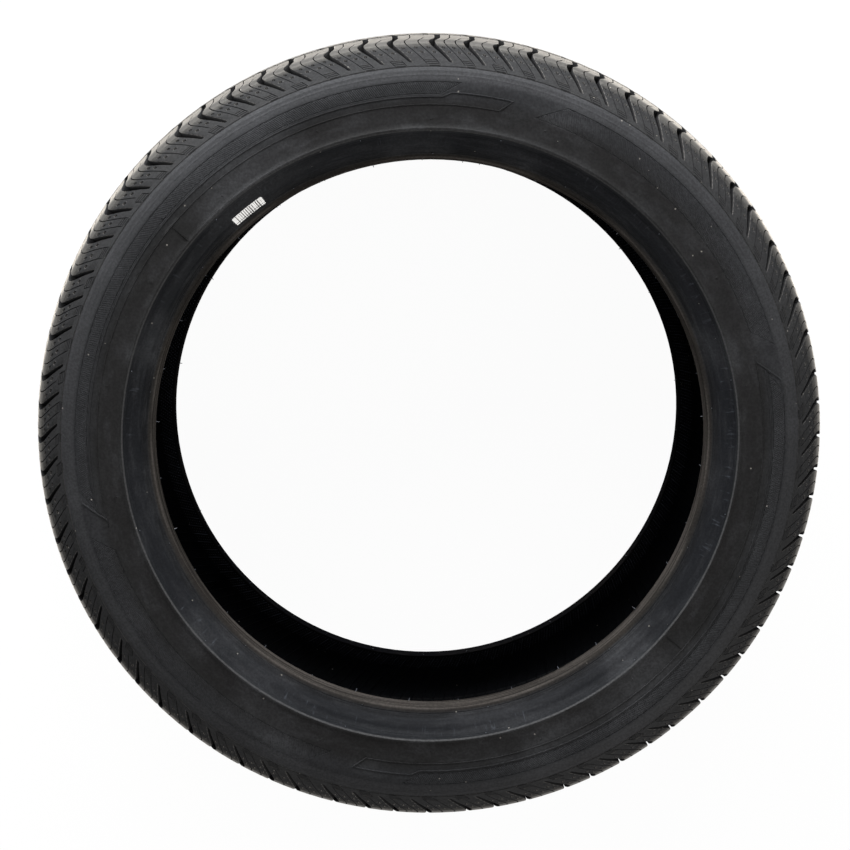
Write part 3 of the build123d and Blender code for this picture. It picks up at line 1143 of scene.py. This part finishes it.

# %% [markdown]
# ## The sidewall's finish
# The sidewall is smoother than the tread. Its tone changes in rings: the crest of the rim protector is
# painted pale as a highlight, the middle and the outer band are a little lighter, the hollow under the rim
# protector is bluish with faint scuffs across it, and the bead is brown from the mould's release agent.

# %% Sidewall finish
def make_side_finish():
    """Black rubber in rings of slightly different tone, with a painted highlight on the crest."""
    material, tree, shader, place = start_finish("sidewall_rubber")
    radius = place["Radius"]
    colour = (0.0180, 0.0168, 0.0158, 1)
    tones = {
        (244.5, 247.0): (0.0085, 0.0088, 0.0095, 1),
        (248.5, 252.0): (0.0092, 0.0098, 0.0111, 1),
        # painted highlight: a thin pale ring on the inner slope of the rim protector's crest
        (264.7, 265.1): (0.0400, 0.0400, 0.0405, 1),
        (265.9, 266.3): (0.0128, 0.0126, 0.0126, 1),
        (285.0, 299.0): (0.0185, 0.0188, 0.0199, 1),
        (306.0, 309.0): (0.0265, 0.0268, 0.0282, 1),
    }
    for limits, tone in tones.items():
        colour = mix_colour(tree, ramp(tree, radius, *limits), colour, tone)
    hollow = calc(tree, "MULTIPLY", ramp(tree, radius, 254.0, 257.0), ramp(tree, radius, 264.5, 261.5))
    scuffs = ramp(tree, noise(tree, 75.0, 3.0, 0.6, place["Spokes"]), 0.58, 0.70)
    scuffs = calc(tree, "MULTIPLY", scuffs, ramp(tree, noise(tree, 14.0), 0.45, 0.65))
    scuffs = calc(tree, "MULTIPLY", scuffs, calc(tree, "MULTIPLY", hollow, 0.7))
    colour = mix_colour(tree, scuffs, colour, (0.045, 0.049, 0.058, 1))
    rubber_finish(tree, shader, colour, (0.048, 0.049, 0.052, 1), (0.35, 0.25, 0.4, 0.3), 0.02, 0.42)
    return material


def make_seat_finish():
    """Brown matt rubber where the bead sits on the rim, with painted shade making the lower bead almost
    black.
    """
    material, tree, shader, place = start_finish("bead_seat_rubber")
    # painted shade: the lower bead, nearer the floor, is painted near-black
    upper = ramp(tree, place["Height"], -60.0, 60.0)
    lines = ramp(tree, noise(tree, 2.0, 2.0, 0.5, place["Hoops"]), 0.42, 0.58)
    brown = mix_colour(tree, lines, (0.050, 0.0450, 0.0410, 1), (0.016, 0.0145, 0.0130, 1))
    brown = mix_colour(tree, ramp(tree, place["Radius"], 242.4, 244.4), brown, (0.0180, 0.0168, 0.0158, 1))
    colour = mix_colour(tree, upper, (0.005, 0.005, 0.006, 1), brown)
    rubber_finish(tree, shader, colour, (0.050, 0.043, 0.036, 1), (0.15, 0.1, 0.2, 0.25), 0.0)
    return material


side_finish = make_side_finish()
side_finishes = (side_finish, make_seat_finish(), side_finish)
half_turns = [-140 / 360 * 2 * side_width, 40 / 360 * 2 * side_width]
for name, facing in (("sidewall_outer", 1.0), ("sidewall_inner", -1.0)):
    roll(name, half_turns, [0, 0], sidewall_cells, 2 * side_width, side_finishes, facing)

# %% [markdown]
# ## Inner liner
# Inside, the tyre carries the print of the rubber bladder that pressed it into the mould: slanted ribs
# that let the air out, and rows of small dots near the beads. The liner is a thin closed skin that laps
# under both toes.

# %% Liner section and cell
liner_cells_round = 87
liner_r = 334.5
liner_width = 2 * math.pi * liner_r / liner_cells_round
liner_radius = 433.0
liner_skin = 1.5
liner_lean = 0.5
lighter_rib_r = 256.0


def liner_half():
    """The liner from the upper toe to the middle of the crown."""
    lap = toe_end + 0.5 * toe_run + 0.15 * Vector((-toe_run.y, toe_run.x))
    points = [lap, *[toe_end + step * toe_run for step in (1.7, 7.0, 14.0)], apex_top]
    points += arc(apex_top, liner_waist, 2.2, 4) + arc(liner_waist, liner_shoulder, 1.2, 2)
    points += arc(liner_shoulder, liner_edge, 5.2, 6)
    for z in (58.0, 38.0, 19.0, 0.0):
        points.append(Vector((liner_r - liner_radius + math.sqrt(liner_radius**2 - z * z), z)))
    return points


upper_liner = liner_half()
liner_face = upper_liner + [Vector((p.x, -p.y)) for p in reversed(upper_liner[:-1])]
liner_back = [Vector(p) for p in beside(liner_face, liner_skin)[::-1]]
liner_section = liner_face + liner_back[1:-1]
liner_s = run_lengths(liner_section)
liner_face_s = liner_s[len(liner_face) - 1]


def liner_cell():
    """A narrow strip of the liner from toe to toe."""
    creases = []
    rib_half = 0.7
    ribs = [0.25 * liner_width, 0.75 * liner_width]
    reach = (liner_s[1] + 0.6, liner_face_s - liner_s[1] - 0.6)
    for rib in ribs:
        for off in (-rib_half, 0.0, rib_half):
            creases.append([(rib + off, reach[0]), (rib + off, reach[1])])
    dot = 0.8
    places = [share * liner_width for share in (0.083, 0.417, 0.583, 0.917)]
    dots = [(c, liner_s[1] + 2.2 + 2.9 * row) for row in range(7) for c in places]
    dots += [(c, liner_face_s - s) for c, s in dots]
    for c0, s0 in dots:
        creases.append(closed_path([(c0 - dot, s0), (c0, s0 - dot), (c0 + dot, s0), (c0, s0 + dot)]))
        creases.append([(c0 - dot, s0), (c0, s0), (c0 + dot, s0)])

    def shape(c, s, r, z, normal):
        rise = np.zeros(c.shape)
        for rib in ribs:
            fade = np.clip((s - reach[0]) / 1.2, 0, 1) * np.clip((reach[1] - s) / 1.2, 0, 1)
            rise = np.maximum(rise, 0.7 * fade * np.clip(1 - np.abs(c - rib) / rib_half, 0, 1))
        for c0, s0 in dots:
            rise = np.maximum(rise, 0.7 * np.clip(1 - (np.abs(c - c0) + np.abs(s - s0)) / dot, 0, 1))
        rise = np.where(s < liner_face_s, rise, 0)
        lean = -liner_lean * (r - toe_end.x) * np.clip(z / liner_edge.y, -1, 1) * liner_r / r
        return c + lean, r + rise * normal[0], z + rise * normal[1], np.where(r < lighter_rib_r, 2 * rise, 0)

    return make_cell("liner_cell_0", liner_width, liner_section, creases, shape)


liner_cells = cell_collection("liner_cells", [liner_cell()])

# %% [markdown]
# ### The liner's finish
# The liner is painted nearly black as shade, and blacker deeper in from the beads. Only near the beads
# do the ribs and dots have lighter, bluish, shinier tops.

# %% Liner finish
def make_liner_finish():
    """Smooth rubber painted near-black as shade, with a faint blue cast, blacker deeper in from the beads."""
    material, tree, shader, place = start_finish("liner_rubber")
    # painted shade: darker towards the middle of the cavity, away from the beads
    deep = ramp(tree, place["Radius"], 262.0, 320.0)
    colour = mix_colour(tree, deep, (0.007, 0.0075, 0.009, 1), (0.005, 0.0055, 0.007, 1))
    rubber_finish(tree, shader, colour, (0.014, 0.015, 0.018, 1), (0.25, 0.1, 0.5, 0.25), 0.05)
    return material


def make_rib_finish():
    """The tops of the liner's ribs and dots near the beads, lighter, bluish and shinier."""
    material, tree, shader, _ = start_finish("liner_rib_rubber")
    blue_black, lighter_blue = (0.030, 0.034, 0.044, 1), (0.060, 0.067, 0.082, 1)
    rubber_finish(tree, shader, blue_black, lighter_blue, (0.4, 0.2, 0.3, 0.2), 0.5)
    return material


liner_finish = make_liner_finish()
liner_finishes = (liner_finish, make_rib_finish(), liner_finish)
liner_starts = [liner_width * i for i in range(liner_cells_round)]
liner_kinds = [0] * liner_cells_round
liner_reach = liner_width * liner_cells_round
roll("inner_liner", liner_starts, liner_kinds, liner_cells, liner_reach, liner_finishes)

# %% [markdown]
# ## Vent hairs
# Where the mould lets air out, the rubber is pressed into the vent holes and leaves thin hairs. They
# stand in rings, most of them on the toes of the beads. A second tree spreads points round a ring with a
# fixed seed and plants a small cone on each, leaning out of the rubber.

# %% Hair tree
def make_hair_tree():
    """A ring of thin cones with uneven places, lengths and lean."""
    inputs = {"Holder": "Geometry", "Count": "Int"}
    inputs |= dict.fromkeys(("Ring radius", "Ring height", "Lean", "Length", "Thickness", "Phase"), "Float")
    inputs |= {"Seed": "Int", "Finish": "Material"}
    tree, given = new_group("vent_hair_ring", "GeometryNodeTree", inputs, {"Hairs": "Geometry"})

    def chance(low, high, shift):
        sockets = {2: low, 3: high, "Seed": calc(tree, "ADD", given["Seed"], shift)}
        return add(tree, "FunctionNodeRandomValue", sockets, data_type="FLOAT").outputs[1]

    index = add(tree, "GeometryNodeInputIndex").outputs[0]
    step = calc(tree, "DIVIDE", 2 * math.pi, given["Count"])
    place = calc(tree, "ADD", calc(tree, "ADD", index, chance(-0.12, 0.12, 1)), given["Phase"])
    angle = calc(tree, "MULTIPLY", place, step)
    spot = add(tree, "ShaderNodeCombineXYZ", {
        0: calc(tree, "MULTIPLY", given["Ring radius"], calc(tree, "COSINE", angle)),
        1: calc(tree, "MULTIPLY", given["Ring radius"], calc(tree, "SINE", angle)),
        2: given["Ring height"],
    })
    points = add(tree, "GeometryNodePoints", {"Count": given["Count"], "Position": spot.outputs[0]})
    cone = add(tree, "GeometryNodeMeshCone", {
        "Vertices": 5,
        "Radius Top": calc(tree, "MULTIPLY", given["Thickness"], 0.3),
        "Radius Bottom": calc(tree, "MULTIPLY", given["Thickness"], 0.5),
        "Depth": given["Length"],
    })
    turn = add(tree, "ShaderNodeCombineXYZ", {
        0: chance(-0.35, 0.35, 2),
        1: calc(tree, "ADD", given["Lean"], chance(-0.3, 0.3, 3)),
        2: angle,
    })
    size = add(tree, "ShaderNodeCombineXYZ", {0: 1.0, 1: 1.0, 2: chance(0.45, 1.25, 4)})
    planted = add(tree, "GeometryNodeInstanceOnPoints", {
        "Points": points.outputs[0],
        "Instance": cone.outputs["Mesh"],
        "Rotation": turn.outputs[0],
        "Scale": size.outputs[0],
    })
    real = add(tree, "GeometryNodeRealizeInstances", {0: planted.outputs[0]})
    done = add(tree, "GeometryNodeSetMaterial", {"Geometry": real.outputs[0], "Material": given["Finish"]})
    add(tree, "NodeGroupOutput", {0: done.outputs[0]})
    return tree


hair_tree = make_hair_tree()
print("hair tree has", len(hair_tree.nodes), "nodes")

# %% [markdown]
# ### Planting
# Each ring of hairs is one run of the tree with its own count, place, lean and seed. The lower rings
# mirror the upper ones.

# %% Plant the hairs
hair_thickness = 0.9


def hair_ring(name, count, radius, z, lean, length, phase, seed):
    """One ring of hairs. lean is the angle from +Z towards the outside, in degrees."""
    mesh = run_tree(bpy.data.objects.new(name, bpy.data.meshes.new(name)), hair_tree, {
        "Count": count,
        "Ring radius": radius * MM,
        "Ring height": mid_plane + z * MM,
        "Lean": math.radians(lean),
        "Length": length * MM,
        "Thickness": hair_thickness * MM,
        "Phase": phase,
        "Seed": seed,
        "Finish": liner_finishes[1],
    })
    rubber_piece(name, mesh)


hair_ring("vent_hairs_toe_outer", 33, 241.5, 83.6, -135.0, 3.6, 0.3, 3)
hair_ring("vent_hairs_toe_inner", 33, 241.5, -83.6, -45.0, 3.6, 0.6, 5)
hair_ring("vent_hairs_rib_outer", 12, 263.2, 121.2, -15.0, 1.1, 0.45, 7)
hair_ring("vent_hairs_bead_outer", 13, 246.2, 101.6, -20.0, 1.8, 0.2, 9)
hair_ring("vent_hairs_rib_inner", 12, 263.2, -121.2, -165.0, 1.1, 0.45, 11)
hair_ring("vent_hairs_bead_inner", 13, 246.2, -101.6, -160.0, 1.8, 0.2, 13)

# %% [markdown]
# ## Stock label
# The paper label is stuck on the slope above the bead. Its CAD shape is already right, so it stays and
# only takes a finish: white paper with black bars of uneven width and a clear margin.

# %% Label finish
label_place = math.radians(128.2)
label_turn = 31.5 / 251.3
label_rows = (247.4, 254.7)


def share_of(tree, value, low, high):
    """How far a value has come from low to high."""
    return calc(tree, "DIVIDE", calc(tree, "SUBTRACT", value, low), high - low)


def make_label_finish():
    """White paper with bars across it."""
    material, tree, shader, place = start_finish("label_paper")
    along = share_of(tree, place["Angle"], label_place - label_turn / 2, label_place + label_turn / 2)
    across = share_of(tree, place["Radius"], *label_rows)
    count = calc(tree, "MULTIPLY", along, 15.0)
    chance = add(tree, "ShaderNodeTexWhiteNoise", {"W": calc(tree, "FLOOR", count)}, noise_dimensions="1D")
    width = calc(tree, "ADD", 0.08, calc(tree, "MULTIPLY", chance.outputs["Value"], 0.45))
    ink = calc(tree, "LESS_THAN", calc(tree, "FRACT", count), width)
    for value, middle, reach in ((along, 0.48, 0.41), (across, 0.5, 0.44)):
        printed = add(tree, "ShaderNodeMath", {0: value, 1: middle, 2: reach}, operation="COMPARE").outputs[0]
        ink = calc(tree, "MULTIPLY", ink, printed)
    tone = ramp(tree, noise(tree, 220.0), 0.3, 0.8)
    paper = mix_colour(tree, tone, (0.97, 0.97, 0.96, 1), (0.92, 0.92, 0.90, 1))
    colour = mix_colour(tree, ink, paper, (0.08, 0.075, 0.07, 1))
    tree.links.new(colour, shader.inputs["Base Color"])
    shader.inputs["Roughness"].default_value = 0.55
    return material


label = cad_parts["stock_label"]
label_finish = make_label_finish()
for material_slot in label.material_slots:
    material_slot.material = label_finish
print("label has", len(label.material_slots), "material slot")

# %% [markdown]
# ## Camera
# The photograph looks straight at the upper sidewall from a little above the middle. The tyre lies flat
# here, so the camera hangs above it. Its distance and lens come from how much smaller the far bead looks
# than the near one.

# %% Camera
photo_px = 850
focal_px = 2023.5
camera_place = Vector((-0.0329, 0.2582, 1.8436 + mid_plane))
shift_px = (-3.56, -2.91)
camera_data = bpy.data.cameras.new("camera")
camera_data.lens = focal_px / photo_px * camera_data.sensor_width
camera_data.shift_x, camera_data.shift_y = (shift / photo_px for shift in shift_px)
camera = bpy.data.objects.new("camera", camera_data)
bpy.context.scene.collection.objects.link(camera)
ahead = (Vector((0, 0, mid_plane)) - camera_place).normalized()
right = ahead.cross(Vector((0, 1, 0))).normalized()
axes = Matrix((right, right.cross(ahead), -ahead)).transposed()
camera.matrix_world = Matrix.Translation(camera_place) @ axes.to_4x4()
bpy.context.scene.camera = camera
print("lens", round(camera_data.lens, 1), "mm")

# %% [markdown]
# ## Light and floor
# A wide soft lamp stands low at the top edge of the picture, as open sky would over the standing tyre.
# Two weak lamps graze the left and the right side, and a broad fill from the front lights the sidewall
# and the label. The floor is white to the camera and keeps a little of its own shading, so that the
# tyre's soft shadow still shows.

# %% Light and floor
def area_lamp(name, place, target, size, power, colour):
    """A soft lamp, size wide and high, that looks at a point."""
    lamp = bpy.data.lights.new(name, "AREA")
    lamp.shape = "RECTANGLE"
    lamp.size, lamp.size_y = size
    lamp.energy = power
    lamp.color = colour
    holder = bpy.data.objects.new(name, lamp)
    holder.location = place
    holder.rotation_euler = (Vector(target) - Vector(place)).to_track_quat("-Z", "Y").to_euler()
    bpy.context.scene.collection.objects.link(holder)


def white_to_camera(tree, shaded, share):
    """Mixes a shader with plain white for camera, glossy and transmission rays."""
    rays = add(tree, "ShaderNodeLightPath").outputs
    seen = calc(tree, "MAXIMUM", rays["Is Camera Ray"], rays["Is Glossy Ray"])
    seen = calc(tree, "MAXIMUM", seen, rays["Is Transmission Ray"])
    white = add(tree, "ShaderNodeEmission", {"Color": (1, 1, 1, 1), "Strength": 1.0})
    factor = calc(tree, "MULTIPLY", seen, share)
    return add(tree, "ShaderNodeMixShader", {0: factor, 1: shaded, 2: white.outputs[0]})


def make_floor():
    """A pale floor under the tyre."""
    mesh = bpy.data.meshes.new("floor")
    reach = 8.0
    corners = [(-reach, -reach, 0), (reach, -reach, 0), (reach, reach, 0), (-reach, reach, 0)]
    mesh.from_pydata(corners, [], [(0, 1, 2, 3)])
    floor = bpy.data.objects.new("floor", mesh)
    material = bpy.data.materials.new("pale_floor")
    material.use_nodes = True
    tree = material.node_tree
    shader = tree.nodes["Principled BSDF"]
    shader.inputs["Base Color"].default_value = (0.82, 0.82, 0.82, 1)
    shader.inputs["Roughness"].default_value = 0.9
    mixed = white_to_camera(tree, shader.outputs[0], 0.96)
    tree.links.new(mixed.outputs[0], tree.nodes["Material Output"].inputs["Surface"])
    mesh.materials.append(material)
    bpy.context.scene.collection.objects.link(floor)


def make_world():
    """Soft even light, white where the camera or a reflection sees it."""
    world = bpy.data.worlds.new("soft_sky")
    bpy.context.scene.world = world
    world.use_nodes = True
    tree = world.node_tree
    sky = add(tree, "ShaderNodeBackground", {"Color": (0.36, 0.36, 0.36, 1)})
    mixed = white_to_camera(tree, sky.outputs[0], 1.0)
    tree.links.new(mixed.outputs[0], tree.nodes["World Output"].inputs["Surface"])


make_world()
make_floor()
area_lamp("sky_side", (-0.25, 1.5, 0.66), (0, 0, 0.2), (2.4, 1.2), 130.0, (0.97, 0.985, 1.0))
area_lamp("left_side", (-2.4, 0.9, 0.4), (0, 0, 0.2), (1.0, 0.6), 3.0, (1.0, 0.96, 0.90))
area_lamp("right_side", (2.4, 0.9, 0.4), (0, 0, 0.2), (1.0, 0.6), 1.5, (1.0, 0.95, 0.88))
area_lamp("front_fill", (2.1, -2.9, 2.3), (0, 0, 0.1), (2.4, 2.4), 112.0, (1.0, 0.975, 0.95))
bpy.context.scene.view_settings.view_transform = "Standard"
